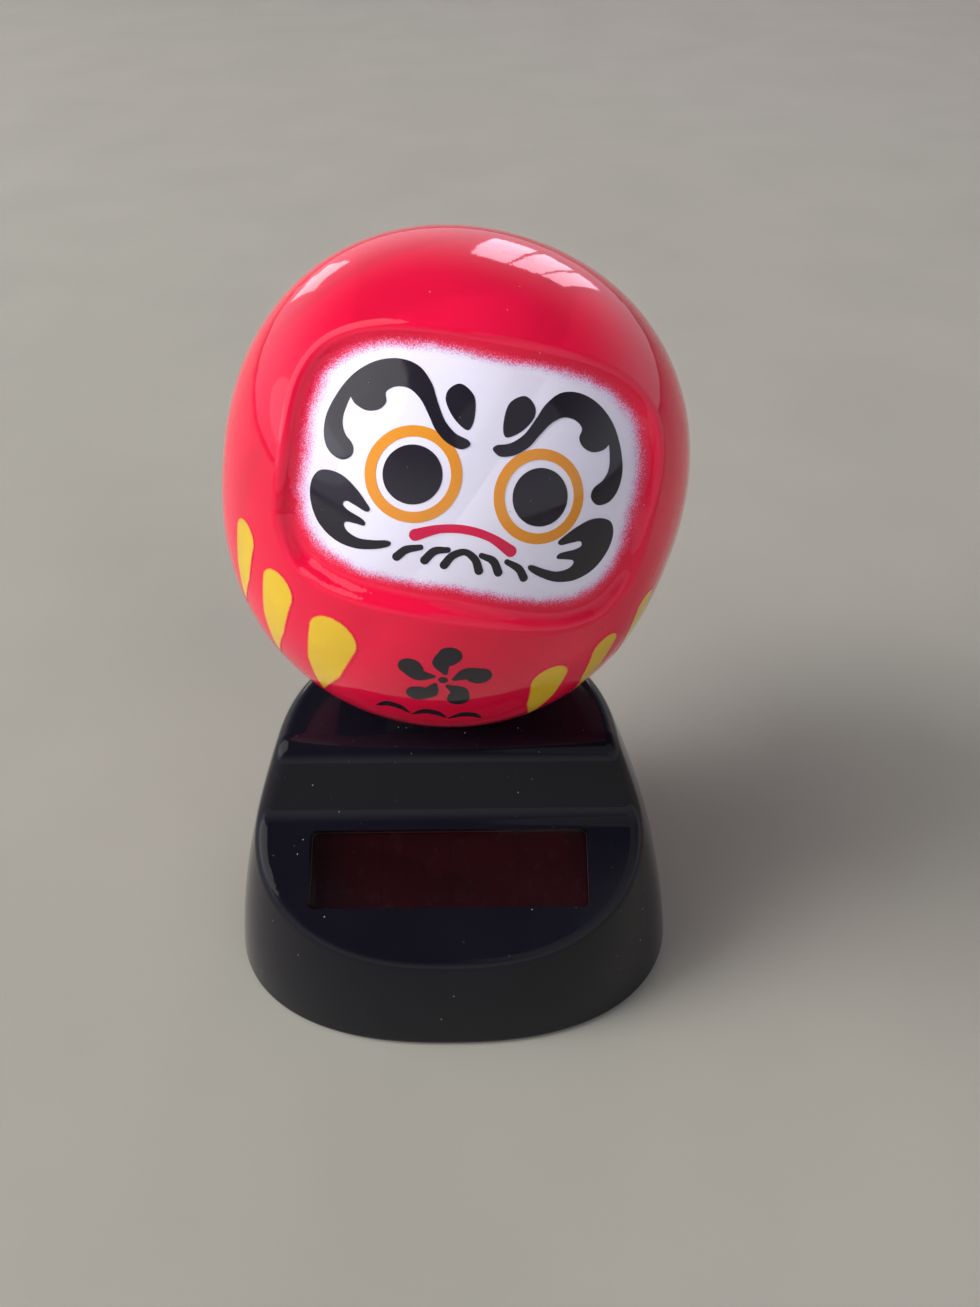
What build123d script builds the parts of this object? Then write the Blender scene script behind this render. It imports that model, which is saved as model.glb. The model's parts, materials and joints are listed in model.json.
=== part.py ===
from build123d import *
import math
import os

# Solar-powered rocking daruma: a hollow doll that swings from side to side on a pin, over a dome-shaped base
# that holds a solar cell, a small circuit and a drive coil. Millimetres, +Z up, the face looks towards -Y.
# Origin: on the underside of the base, at the centre of its oval footprint.

# ---- base dome: level sections are superellipses that draw in with height ----
BASE_HALF_WIDTH = 22.4
WIDEST_Y = -3.0
FRONT_REACH = 16.0
BACK_REACH = 22.5
OVAL_POWER = 2.4
OVAL_POINTS = 32
LEAN = 0.125
LEAN_GROWTH = 0.0055
BACK_LEAN_SHARE = 0.8
DECK_Z = 25.0
DOME_LEVELS = (0, 6, 12, 18, 24, 29)
BASE_WALL = 1.5
EDGE_ROUND = 1.5
SOLE_ROUND = 0.6
TOP_EDGES_ABOVE_Z = 3.0

# ---- scoop in the front of the dome: a sloping plateau, a steep wall and the deck above it ----
PLATEAU_RIM = (-16.9, 10.7)
PLATEAU_SLOPE = 31.0
SCOOP_FOOT_Y = -5.1
SCOOP_WALL_SLOPE = 74.0
FOOT_ROUND = 3.2
DECK_EDGE_ROUND = 2.6
FAR = 45.0
CUT_PAST = 1.0

# ---- window in the plateau and the solar cell behind it ----
WINDOW_Y = -9.35
WINDOW_WIDTH = 26.5
WINDOW_HEIGHT = 7.3
WINDOW_CORNER = 0.6
TAPE_THICK = 0.3
CELL_WIDTH = 28.0
CELL_HEIGHT = 9.0
GLASS_THICK = 1.1
FILM_THICK = 0.15
CELL_CORNER = 0.8
FILM_MARGIN = 0.3
CELL_TAB_X = (-10.0, 9.6)
CELL_TAB_DROP = 1.5
CELL_TAB_RUN = 2.4
LEAD_KNEE_DROP = 1.6
LEAD_PAD_BACK = 0.8
LEAD_BEND = 0.9
LEAD_RADIUS = 0.45

# ---- underside ----
COVER_THICK = 1.6
COVER_GAP = 0.1
COVER_POSTS = ((-15.5, -1.5), (15.5, -1.5), (0.0, 15.4))
POST_RADIUS = 2.0
POST_TOP = 22.0
SCREW_RADIUS = 0.8
SCREW_HEAD_RADIUS = 1.6
SCREW_HEAD_HEIGHT = 1.0
SCREW_HOLE_GAP = 0.1
HEAD_POCKET_GAP = 0.15
COVER_SCREW_LENGTH = 6.0
COVER_SCREW_HEAD = 0.8
HOLE_END_GAP = 0.5

# ---- swinging doll ----
PIVOT_Y = 7.0
PIVOT_Z = 41.8
REST_TILT = 12.5
BALL_RADIUS = 19.35
BALL_HALF_HEIGHT = 20.4
BALL_POWER = 2.3
BALL_POINTS = 10
BALL_ABOVE_PIVOT = 5.4
BALL_WALL = 1.4
LIP_DEPTH = 1.2
LIP_GAP = 0.05
OPENING_HALF_X = 9.0
OPENING_HALF_Y = 5.6
OPENING_CORNER = 3.0
BOSS_RADIUS = 2.0
BOSS_HOLE_DEPTH = 8.0

# ---- sunken face: a rounded rectangle seen along a line that tilts upwards, with flared walls ----
FACE_TILT = 33.0
FACE_HALF_WIDTH = 13.7
FACE_HALF_HEIGHT = 9.8
FACE_POWER = 3.8
FACE_POINTS = 48
FACE_DEPTH = 1.2
FLARE_APEX = 10.5
FLARE_REACH = (11.3, 26.0)
RIM_ROUND = 0.9
FLOOR_ROUND = 1.3
RIM_LEVEL = 0.985
FLOOR_LEVEL = 0.9
SHORTEST_FACE_EDGE = 20.0
FACE_EDGE_MARGIN = 3.0

# ---- pivot ----
PIN_RADIUS = 0.75
PIN_HALF_LENGTH = 4.6
HUB_CLEARANCE = 0.05
HUB_RADIUS = 2.0
HUB_HALF_LENGTH = 2.2
PIN_CHAMFER = 0.15
MAST_POST_HALF_X = 2.5
MAST_POST_INNER_Y = 2.6
MAST_POST_OUTER_Y = 4.4
MAST_FLANGE_Z = 18.9
MAST_FLANGE_THICK = 1.6
MAST_FLANGE_HALF_X = 10.0
MAST_FLANGE_HALF_Y = 4.6
MAST_FLANGE_CORNER = 2.6
MAST_TAB_HALF_X = 12.8
MAST_TAB_HALF_Y = 2.3
MAST_TAB_CORNER = 1.5
MAST_SCREW_X = 10.6
MAST_SCREW_LENGTH = 4.0
MAST_HOLE_DEPTH = 3.0
DECK_SLOT_HALF_X = 8.0
DECK_SLOT_HALF_Y = 4.6
DECK_SLOT_CORNER = 1.0
FLANGE_SLOT_HALF_X = 8.8
FLANGE_SLOT_CORNER = 0.8

# ---- pendulum ----
ARM_HALF_X = 1.5
ARM_HALF_Y = 1.7
ARM_BOTTOM_Z = 13.0
CROSSBAR_HALF_X = 11.2
CROSSBAR_Z = (46.0, 48.6)
CROSSBAR_HALF_Y = 2.0
CROSSBAR_SCREW_X = 9.2
CROSSBAR_CORNER = 1.2
ARM_SCREW_LENGTH = 8.0
ARM_SCREW_RADIUS = 0.7
ARM_SCREW_HEAD_RADIUS = 1.15
ARM_SCREW_HEAD_HEIGHT = 0.9
MAGNET_RADIUS = 4.0
MAGNET_THICK = 3.0
MAGNET_BOTTOM_Z = 9.0
HOLDER_RADIUS = 4.9
HOLDER_BOTTOM_Z = 9.3
HOLDER_TOP_Z = 15.5
HOLDER_ROOF = 1.0
HOLDER_NECK_RADIUS = 3.0
MAGNET_CHAMFER = 0.2
WEIGHT_CHAMFER = 0.8
WEIGHT_HALF_X = 5.0
WEIGHT_HALF_Y = 2.2
WEIGHT_Z = (30.0, 36.5)

# ---- coil and circuit ----
BOBBIN_RADIUS = 6.0
BOBBIN_CORE_RADIUS = 2.6
BOBBIN_BORE_RADIUS = 1.6
BOBBIN_FLANGE = 0.7
BOBBIN_TOP_Z = 7.6
WINDING_RADIUS = 5.6
SPIGOT_RADIUS = 1.5
SPIGOT_TOP_Z = 4.6
WINDING_ROUND = 0.4
BOARD_CENTRE_Y = -8.6
BOARD_SIZE = (25.0, 11.0)
BOARD_BOTTOM_Z = 3.0
BOARD_THICK = 1.0
BOARD_CORNER = 1.0
BOARD_SCREW_X = 10.4
BOARD_SCREW_Y = -6.0
STANDOFF_RADIUS = 1.9
STANDOFF_HOLE_SINK = 0.6
BOARD_SCREW_RADIUS = 0.6
BOARD_SCREW_HEAD = (1.2, 0.8)
BOARD_HOLE_GAP = 0.1
BLOB_RADIUS = 2.6
BLOB_HEIGHT = 1.1
BLOB_X = -4.5
CAPACITOR_RADIUS = 2.5
CAPACITOR_HEIGHT = 6.8
CAPACITOR_X = 4.6
CAPACITOR_LEAD_HALF_PITCH = 1.0
CAPACITOR_LEAD_RADIUS = 0.25
CAPACITOR_LEAD_REACH = 1.0
CAPACITOR_LEAD_TAIL = 0.8
CAPACITOR_ROUND = 0.3
GROOVE_HEIGHT = 1.2
GROOVE_RADIUS = 0.35
GROOVE_OFFSET = 0.15
COIL_WIRE_RADIUS = 0.15
COIL_LEAD_X = 2.4

PIVOT = (0, PIVOT_Y, PIVOT_Z)
BALL_CENTRE = (0, PIVOT_Y, PIVOT_Z + BALL_ABOVE_PIVOT)


def lean(z):
    """How far the dome's wall has drawn in at height z."""
    return LEAN * z + LEAN_GROWTH * z * z


def oval_point(z, inset, angle):
    """A point on the dome's level section at height z, moved in from the outer wall."""
    across = BASE_HALF_WIDTH - lean(z) - inset
    front = FRONT_REACH - lean(z) - inset
    back = BACK_REACH - BACK_LEAN_SHARE * lean(z) - inset
    c = math.cos(angle)
    s = math.sin(angle)
    along = back if s > 0 else front
    x = across * math.copysign(abs(c) ** (2 / OVAL_POWER), c)
    y = along * math.copysign(abs(s) ** (2 / OVAL_POWER), s)
    return (x, WIDEST_Y + y, z)


def oval_face(z, inset):
    """The dome's level section, with the curve's seam at the back."""
    turn = 2 * math.pi / OVAL_POINTS
    points = [oval_point(z, inset, math.pi / 2 + turn * step) for step in range(OVAL_POINTS)]
    return make_face(Spline(*points, periodic=True))


def dome(inset, levels):
    return loft([oval_face(z, inset) for z in levels])


def plateau_z(y, inset=0.0):
    """Height of the sloping plateau, or of the same plane sunk by inset."""
    slope = math.radians(PLATEAU_SLOPE)
    return PLATEAU_RIM[1] + math.tan(slope) * (y - PLATEAU_RIM[0]) - inset / math.cos(slope)


def under_top(inset):
    """Everything below the plateau, the scoop's wall and the deck, sunk by inset."""
    rise = math.tan(math.radians(PLATEAU_SLOPE))
    steep = math.tan(math.radians(SCOOP_WALL_SLOPE))
    foot_z = plateau_z(SCOOP_FOOT_Y)
    shift = SCOOP_FOOT_Y + inset / math.sin(math.radians(SCOOP_WALL_SLOPE))
    start_z = plateau_z(0, inset)
    corner_z = (start_z + rise * (shift - foot_z / steep)) / (1 - rise / steep)
    corner_y = shift + (corner_z - foot_z) / steep
    deck_z = DECK_Z - inset
    deck_y = shift + (deck_z - foot_z) / steep
    skyline = FilletPolyline(
        (-FAR, plateau_z(-FAR, inset)),
        (corner_y, corner_z),
        (deck_y, deck_z),
        (FAR, deck_z),
        radius=[FOOT_ROUND + inset, DECK_EDGE_ROUND - inset],
    )
    underside = Polyline((FAR, deck_z), (FAR, -FAR), (-FAR, -FAR), (-FAR, plateau_z(-FAR, inset)))
    return extrude(Plane.YZ * make_face(skyline + underside), amount=FAR, both=True)


def is_top_loop(edge):
    """True for the edges where the dome's wall meets the scooped top."""
    return edge.bounding_box().min.Z > TOP_EDGES_ABOVE_Z and edge.geom_type != GeomType.LINE


def window_frame():
    """Plane of the plateau at the window: X across, Y up the slope, Z outwards."""
    slope = math.radians(PLATEAU_SLOPE)
    origin = (0, WINDOW_Y, plateau_z(WINDOW_Y))
    return Plane(origin=origin, x_dir=(1, 0, 0), z_dir=(0, -math.sin(slope), math.cos(slope)))


def window_slab(width, height, corner, top, thick):
    """A rounded slab parallel to the window, from depth top down by thick."""
    outline = Pos(0, 0, -top) * RectangleRounded(width, height, corner)
    return extrude(window_frame() * outline, amount=-thick)


def rod(x, y, bottom, top, radius):
    return Pos(x, y, bottom) * Cylinder(radius, top - bottom, align=(Align.CENTER, Align.CENTER, Align.MIN))


def block(half_x, y_range, z_range):
    size = (2 * half_x, y_range[1] - y_range[0], z_range[1] - z_range[0])
    centre = (0, sum(y_range) / 2, sum(z_range) / 2)
    return Pos(*centre) * Box(*size)


def slot(half_x, half_y, corner, z_range):
    outline = Pos(0, PIVOT_Y, z_range[0]) * RectangleRounded(2 * half_x, 2 * half_y, corner)
    return extrude(outline, amount=z_range[1] - z_range[0])


def across_pivot(radius, length):
    """Cylinder along the pivot's axis, centred on it."""
    return Pos(*PIVOT) * Rot(90, 0, 0) * Cylinder(radius, length)


def screw(x, y, seat_z, length, radius, head_radius, head_height):
    """Self-tapping screw driven upwards, with a cross recess in its head, which hangs below seat_z."""
    body = rod(x, y, seat_z - head_height, seat_z, head_radius)
    body = chamfer(body.edges().group_by(Axis.Z)[0], head_height * 0.3)
    body += rod(x, y, seat_z, seat_z + length, radius)
    body = chamfer(body.edges().group_by(Axis.Z)[-1], radius * 0.5)
    recess_depth = head_height * 0.55
    for turn in (0, 90):
        arm = Rot(0, 0, turn) * Box(head_radius * 1.2, head_radius * 0.3, recess_depth)
        body -= Pos(x, y, seat_z - head_height + recess_depth / 2) * arm
    return body


def make_base_shell():
    outer = dome(0, DOME_LEVELS) & under_top(0)
    outer = fillet(outer.edges().filter_by(is_top_loop), EDGE_ROUND)
    outer = fillet(outer.edges().group_by(Axis.Z)[0], SOLE_ROUND)
    inner_levels = (-CUT_PAST,) + DOME_LEVELS
    shell = outer - (dome(BASE_WALL, inner_levels) & under_top(BASE_WALL))
    for x, y in COVER_POSTS:
        shell += rod(x, y, COVER_THICK, POST_TOP, POST_RADIUS) & outer
    mast_seat = MAST_FLANGE_Z + MAST_FLANGE_THICK
    for x in (-MAST_SCREW_X, MAST_SCREW_X):
        shell += rod(x, PIVOT_Y, mast_seat, DECK_Z - BASE_WALL / 2, POST_RADIUS)
        shell -= rod(x, PIVOT_Y, mast_seat - CUT_PAST, mast_seat + MAST_HOLE_DEPTH, SCREW_RADIUS)
    hole_top = SCREW_HEAD_HEIGHT + COVER_SCREW_LENGTH + 2 * HOLE_END_GAP
    for x, y in COVER_POSTS:
        shell -= rod(x, y, 0, hole_top, SCREW_RADIUS)
    shell -= window_slab(WINDOW_WIDTH, WINDOW_HEIGHT, WINDOW_CORNER, -CUT_PAST, BASE_WALL + 2 * CUT_PAST)
    deck_range = (DECK_Z - BASE_WALL - CUT_PAST, DECK_Z + CUT_PAST)
    shell -= slot(DECK_SLOT_HALF_X, DECK_SLOT_HALF_Y, DECK_SLOT_CORNER, deck_range)
    return shell


def make_cell_tape():
    tape = window_slab(CELL_WIDTH, CELL_HEIGHT, CELL_CORNER, BASE_WALL, TAPE_THICK)
    return tape - window_slab(WINDOW_WIDTH, WINDOW_HEIGHT, WINDOW_CORNER, 0, BASE_WALL + CUT_PAST)


def make_solar_glass():
    return window_slab(CELL_WIDTH, CELL_HEIGHT, CELL_CORNER, BASE_WALL + TAPE_THICK, GLASS_THICK)


def make_solar_film():
    depth = BASE_WALL + TAPE_THICK + GLASS_THICK
    width = CELL_WIDTH - 2 * FILM_MARGIN
    height = CELL_HEIGHT - 2 * FILM_MARGIN
    return window_slab(width, height, CELL_CORNER, depth, FILM_THICK)


def make_bottom_cover():
    cover = extrude(oval_face(0, BASE_WALL + COVER_GAP), amount=COVER_THICK)
    for x in (-BOARD_SCREW_X, BOARD_SCREW_X):
        cover += rod(x, BOARD_SCREW_Y, COVER_THICK, BOARD_BOTTOM_Z, STANDOFF_RADIUS)
        cover -= rod(x, BOARD_SCREW_Y, COVER_THICK - STANDOFF_HOLE_SINK, BOARD_BOTTOM_Z, BOARD_SCREW_RADIUS)
    cover += rod(0, PIVOT_Y, COVER_THICK, SPIGOT_TOP_Z, SPIGOT_RADIUS)
    for x, y in COVER_POSTS:
        cover -= rod(x, y, -CUT_PAST, COVER_THICK + CUT_PAST, SCREW_RADIUS + SCREW_HOLE_GAP)
        cover -= rod(x, y, -CUT_PAST, SCREW_HEAD_HEIGHT, SCREW_HEAD_RADIUS + HEAD_POCKET_GAP)
    return cover


def make_cover_screws():
    solids = []
    for x, y in COVER_POSTS:
        size = (COVER_SCREW_LENGTH, SCREW_RADIUS, SCREW_HEAD_RADIUS, COVER_SCREW_HEAD)
        solids.append(screw(x, y, SCREW_HEAD_HEIGHT, *size))
    return solids


def make_mast_screws():
    solids = []
    for x in (-MAST_SCREW_X, MAST_SCREW_X):
        size = (MAST_SCREW_LENGTH, SCREW_RADIUS, SCREW_HEAD_RADIUS, SCREW_HEAD_HEIGHT)
        solids.append(screw(x, PIVOT_Y, MAST_FLANGE_Z, *size))
    return solids


def make_pivot_mast():
    """Flange with two posts that stand up through the deck into the doll and hold the pin."""
    flange_top = MAST_FLANGE_Z + MAST_FLANGE_THICK
    flange_z = (MAST_FLANGE_Z, flange_top)
    mast = slot(MAST_FLANGE_HALF_X, MAST_FLANGE_HALF_Y, MAST_FLANGE_CORNER, flange_z)
    mast += slot(MAST_TAB_HALF_X, MAST_TAB_HALF_Y, MAST_TAB_CORNER, flange_z)
    cut_z = (MAST_FLANGE_Z - CUT_PAST, flange_top + CUT_PAST)
    mast -= slot(FLANGE_SLOT_HALF_X, MAST_POST_INNER_Y, FLANGE_SLOT_CORNER, cut_z)
    for side in (-1, 1):
        ends = sorted((PIVOT_Y + side * MAST_POST_INNER_Y, PIVOT_Y + side * MAST_POST_OUTER_Y))
        post = block(MAST_POST_HALF_X, ends, (MAST_FLANGE_Z, PIVOT_Z))
        head = Pos(0, sum(ends) / 2, PIVOT_Z) * Rot(90, 0, 0) * Cylinder(MAST_POST_HALF_X, ends[1] - ends[0])
        mast += post + head
    mast -= across_pivot(PIN_RADIUS, FAR)
    for x in (-MAST_SCREW_X, MAST_SCREW_X):
        mast -= rod(x, PIVOT_Y, *cut_z, SCREW_RADIUS + SCREW_HOLE_GAP)
    return mast


def make_pivot_pin():
    pin = across_pivot(PIN_RADIUS, 2 * PIN_HALF_LENGTH)
    return chamfer(pin.edges().filter_by(GeomType.CIRCLE), PIN_CHAMFER)


def make_coil_bobbin():
    bobbin = rod(0, PIVOT_Y, COVER_THICK, BOBBIN_TOP_Z, BOBBIN_CORE_RADIUS)
    bobbin += rod(0, PIVOT_Y, COVER_THICK, COVER_THICK + BOBBIN_FLANGE, BOBBIN_RADIUS)
    bobbin += rod(0, PIVOT_Y, BOBBIN_TOP_Z - BOBBIN_FLANGE, BOBBIN_TOP_Z, BOBBIN_RADIUS)
    return bobbin - rod(0, PIVOT_Y, 0, BOBBIN_TOP_Z + CUT_PAST, BOBBIN_BORE_RADIUS)


def make_coil_winding():
    low = COVER_THICK + BOBBIN_FLANGE
    high = BOBBIN_TOP_Z - BOBBIN_FLANGE
    winding = rod(0, PIVOT_Y, low, high, WINDING_RADIUS) - rod(0, PIVOT_Y, low, high, BOBBIN_CORE_RADIUS)
    circles = winding.edges().filter_by(GeomType.CIRCLE)
    outer = circles.filter_by(lambda edge: edge.radius > BOBBIN_CORE_RADIUS + WINDING_ROUND)
    return fillet(outer, WINDING_ROUND)


def capacitor_lead_places():
    return [CAPACITOR_X + side * CAPACITOR_LEAD_HALF_PITCH for side in (-1, 1)]


def make_circuit_board():
    outline = Pos(0, BOARD_CENTRE_Y, BOARD_BOTTOM_Z) * RectangleRounded(*BOARD_SIZE, BOARD_CORNER)
    board = extrude(outline, amount=BOARD_THICK)
    cut_z = (BOARD_BOTTOM_Z - CUT_PAST, BOARD_BOTTOM_Z + BOARD_THICK + CUT_PAST)
    for x in (-BOARD_SCREW_X, BOARD_SCREW_X):
        board -= rod(x, BOARD_SCREW_Y, *cut_z, BOARD_SCREW_RADIUS + BOARD_HOLE_GAP)
    for x in capacitor_lead_places():
        board -= rod(x, BOARD_CENTRE_Y, *cut_z, CAPACITOR_LEAD_RADIUS)
    return board


def make_board_screws():
    """Pan-head screws driven downwards through the board into the cover's standoffs."""
    top = BOARD_BOTTOM_Z + BOARD_THICK
    head_radius, head_height = BOARD_SCREW_HEAD
    solids = []
    for x in (-BOARD_SCREW_X, BOARD_SCREW_X):
        head = rod(x, BOARD_SCREW_Y, top, top + head_height, head_radius)
        head = fillet(head.edges().group_by(Axis.Z)[-1], head_height * 0.44)
        head += rod(x, BOARD_SCREW_Y, COVER_THICK, top, BOARD_SCREW_RADIUS)
        drive = Box(head_radius * 1.25, head_radius * 0.3, head_height * 0.6)
        solids.append(head - Pos(x, BOARD_SCREW_Y, top + head_height * 0.75) * drive)
    return solids


def make_chip_blob():
    """Epoxy cap over the bonded chip: a shallow spherical cap."""
    sphere_radius = (BLOB_RADIUS ** 2 + BLOB_HEIGHT ** 2) / (2 * BLOB_HEIGHT)
    top = BOARD_BOTTOM_Z + BOARD_THICK
    centre_z = top + BLOB_HEIGHT - sphere_radius
    cap = Pos(BLOB_X, BOARD_CENTRE_Y, centre_z) * Sphere(sphere_radius)
    keep = rod(BLOB_X, BOARD_CENTRE_Y, top, top + BLOB_HEIGHT + CUT_PAST, BLOB_RADIUS + CUT_PAST)
    return cap & keep


def make_capacitor():
    bottom = BOARD_BOTTOM_Z + BOARD_THICK
    can = rod(CAPACITOR_X, BOARD_CENTRE_Y, bottom, bottom + CAPACITOR_HEIGHT, CAPACITOR_RADIUS)
    can = fillet(can.edges().filter_by(GeomType.CIRCLE), CAPACITOR_ROUND)
    groove = Torus(CAPACITOR_RADIUS + GROOVE_OFFSET, GROOVE_RADIUS)
    can -= Pos(CAPACITOR_X, BOARD_CENTRE_Y, bottom + GROOVE_HEIGHT) * groove
    for x in capacitor_lead_places():
        can -= rod(x, BOARD_CENTRE_Y, bottom - CUT_PAST, bottom + CAPACITOR_LEAD_REACH, CAPACITOR_LEAD_RADIUS)
    return can


def make_capacitor_leads():
    low = BOARD_BOTTOM_Z - CAPACITOR_LEAD_TAIL
    high = BOARD_BOTTOM_Z + BOARD_THICK + CAPACITOR_LEAD_REACH
    return [rod(x, BOARD_CENTRE_Y, low, high, CAPACITOR_LEAD_RADIUS) for x in capacitor_lead_places()]


def wire(points, radii, radius):
    """Round wire along straight runs joined by arcs."""
    path = FilletPolyline(*points, radius=radii)
    section = Plane(origin=path @ 0, z_dir=path % 0) * Circle(radius)
    return sweep(section, path=path)


def cell_lead(x):
    """Insulated wire from a tab on the back of the solar cell down to the board."""
    depth = BASE_WALL + TAPE_THICK + GLASS_THICK + FILM_THICK
    start = (window_frame() * Pos(x, -CELL_TAB_DROP, -depth)).position
    bend = (window_frame() * Pos(x, -CELL_TAB_DROP, -depth - CELL_TAB_RUN)).position
    pad = Vector(x, BOARD_CENTRE_Y + LEAD_PAD_BACK, BOARD_BOTTOM_Z + BOARD_THICK)
    knee = Vector(x, pad.Y, bend.Z - LEAD_KNEE_DROP)
    return wire([start, bend, knee, pad], [LEAD_BEND, LEAD_BEND], LEAD_RADIUS)


def coil_leads():
    """The winding's two ends, led over the cover to the back edge of the board."""
    solids = []
    for side in (-1, 1):
        x = side * COIL_LEAD_X
        start = Vector(x, PIVOT_Y - math.sqrt(WINDING_RADIUS ** 2 - x ** 2) + 0.05, 5.2)
        points = [start, start + Vector(0, -1.4, 0.4), Vector(x, -1.6, 5.0), Vector(x, -3.8, 4.0)]
        solids.append(wire(points, [0.6, 0.9], COIL_WIRE_RADIUS))
    return solids


def ball(inset):
    """The doll's egg-like body of revolution, inset from its outer skin."""
    radius = BALL_RADIUS - inset
    height = BALL_HALF_HEIGHT - inset
    points = []
    for step in range(4 * BALL_POINTS):
        angle = math.pi / 2 * step / BALL_POINTS
        across = -math.cos(angle)
        up = math.sin(angle)
        reach = (abs(across / radius) ** BALL_POWER + abs(up / height) ** BALL_POWER) ** (-1 / BALL_POWER)
        points.append((reach * across, reach * up))
    outline = make_face(Spline(*points, periodic=True))
    half = outline & (Pos(BALL_RADIUS, 0) * Rectangle(2 * BALL_RADIUS, 4 * BALL_RADIUS))
    return Pos(*BALL_CENTRE) * revolve(Plane.XZ * half, Axis.Z, 360)


def ball_height_along(sight, u, v):
    """How far out along the line of sight the ball's skin lies at (u, v) of the face."""
    low, high = 0.0, 2 * BALL_HALF_HEIGHT
    while high - low > 1e-4:
        middle = (low + high) / 2
        point = (sight * Pos(u, v, middle)).position - Vector(*BALL_CENTRE)
        across = math.hypot(point.X, point.Y) / BALL_RADIUS
        up = abs(point.Z) / BALL_HALF_HEIGHT
        if across ** BALL_POWER + up ** BALL_POWER < 1:
            low = middle
        else:
            high = middle
    return low


def face_cone(grow):
    """Flared cone through the outline of the sunken face, widened by grow and sunk as far."""
    tilt = math.radians(FACE_TILT)
    sight = Plane(origin=BALL_CENTRE, x_dir=(1, 0, 0), z_dir=(0, -math.cos(tilt), math.sin(tilt)))
    slopes = []
    for step in range(FACE_POINTS):
        angle = 2 * math.pi * step / FACE_POINTS
        c = abs(math.cos(angle)) / (FACE_HALF_WIDTH + grow)
        s = abs(math.sin(angle)) / (FACE_HALF_HEIGHT + grow)
        reach = (c ** FACE_POWER + s ** FACE_POWER) ** (-1 / FACE_POWER)
        u = reach * math.cos(angle)
        v = reach * math.sin(angle)
        rise = ball_height_along(sight, u, v) - FLARE_APEX
        slopes.append((u / rise, v / rise))
    ends = []
    for distance in FLARE_REACH:
        scale = distance - FLARE_APEX
        outline = make_face(Spline(*[(u * scale, v * scale) for u, v in slopes], periodic=True))
        ends.append(sight * Pos(0, 0, distance - grow) * outline)
    return loft(ends, ruled=True)


def ball_level(point):
    """1 on the ball's outer skin, less inside it."""
    offset = point - Vector(*BALL_CENTRE)
    across = math.hypot(offset.X, offset.Y) / BALL_RADIUS
    return across ** BALL_POWER + (abs(offset.Z) / BALL_HALF_HEIGHT) ** BALL_POWER


def round_face(outer):
    """Round the rim of the sunken face, then the corner between its wall and its floor."""
    for is_rim, radius in ((True, RIM_ROUND), (False, FLOOR_ROUND)):
        chosen = []
        for edge in outer.edges():
            in_front = edge.center().Y < PIVOT_Y - FACE_EDGE_MARGIN
            near_face = in_front and edge.length > SHORTEST_FACE_EDGE
            level = ball_level(edge @ 0.3)
            fits = level > RIM_LEVEL if is_rim else level < FLOOR_LEVEL
            if near_face and fits:
                chosen.append(edge)
        outer = fillet(chosen, radius)
    return outer


def make_body_shells():
    """Front and rear shells of the doll, upright, joined at the vertical plane through the pivot."""
    outer = ball(0) - (face_cone(0) - ball(FACE_DEPTH))
    outer = round_face(outer)
    cavity = ball(BALL_WALL) - (face_cone(BALL_WALL) - ball(FACE_DEPTH + BALL_WALL))
    hull = outer - cavity
    lowest = BALL_CENTRE[2] - BALL_HALF_HEIGHT
    opening_z = (lowest - CUT_PAST, PIVOT_Z - OPENING_HALF_Y)
    hull -= slot(OPENING_HALF_X, OPENING_HALF_Y, OPENING_CORNER, opening_z)
    front_half = block(FAR, (PIVOT_Y - FAR, PIVOT_Y), (0, 2 * FAR))
    rear_half = block(FAR, (PIVOT_Y, PIVOT_Y + FAR), (0, 2 * FAR))
    lip_slab = block(FAR, (PIVOT_Y - LIP_DEPTH, PIVOT_Y), (0, 2 * FAR))
    lip = ((ball(BALL_WALL / 2) - ball(BALL_WALL)) & lip_slab) & hull
    rebate = (ball(BALL_WALL / 2 - LIP_GAP) - ball(BALL_WALL + CUT_PAST)) & lip_slab
    front = (hull & front_half) - rebate
    rear = (hull & rear_half) + lip
    return front, rear


def add_bosses(rear):
    """Screw posts inside the rear shell that the pendulum's crossbar is fixed to."""
    z = sum(CROSSBAR_Z) / 2
    near = PIVOT_Y + CROSSBAR_HALF_Y
    for x in (-CROSSBAR_SCREW_X, CROSSBAR_SCREW_X):
        post = Pos(x, near + BALL_RADIUS / 2, z) * Rot(90, 0, 0) * Cylinder(BOSS_RADIUS, BALL_RADIUS)
        rear += post & ball(BALL_WALL / 2)
        hole = Rot(90, 0, 0) * Cylinder(ARM_SCREW_RADIUS, BOSS_HOLE_DEPTH)
        rear -= Pos(x, near + BOSS_HOLE_DEPTH / 2, z) * hole
    return rear


def make_pendulum_arm():
    """Arm through the pivot, with the crossbar that carries the doll at its top."""
    y_range = (PIVOT_Y - ARM_HALF_Y, PIVOT_Y + ARM_HALF_Y)
    arm = block(ARM_HALF_X, y_range, (ARM_BOTTOM_Z, CROSSBAR_Z[1]))
    arm += across_pivot(HUB_RADIUS, 2 * HUB_HALF_LENGTH)
    bar_y = (PIVOT_Y - CROSSBAR_HALF_Y, PIVOT_Y + CROSSBAR_HALF_Y)
    bar = block(CROSSBAR_HALF_X, bar_y, CROSSBAR_Z)
    arm += fillet(bar.edges().filter_by(Axis.Y), CROSSBAR_CORNER)
    arm -= across_pivot(PIN_RADIUS + HUB_CLEARANCE, FAR)
    z = sum(CROSSBAR_Z) / 2
    for x in (-CROSSBAR_SCREW_X, CROSSBAR_SCREW_X):
        arm -= Pos(x, PIVOT_Y, z) * Rot(90, 0, 0) * Cylinder(ARM_SCREW_RADIUS + SCREW_HOLE_GAP, FAR)
    return arm


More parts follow.
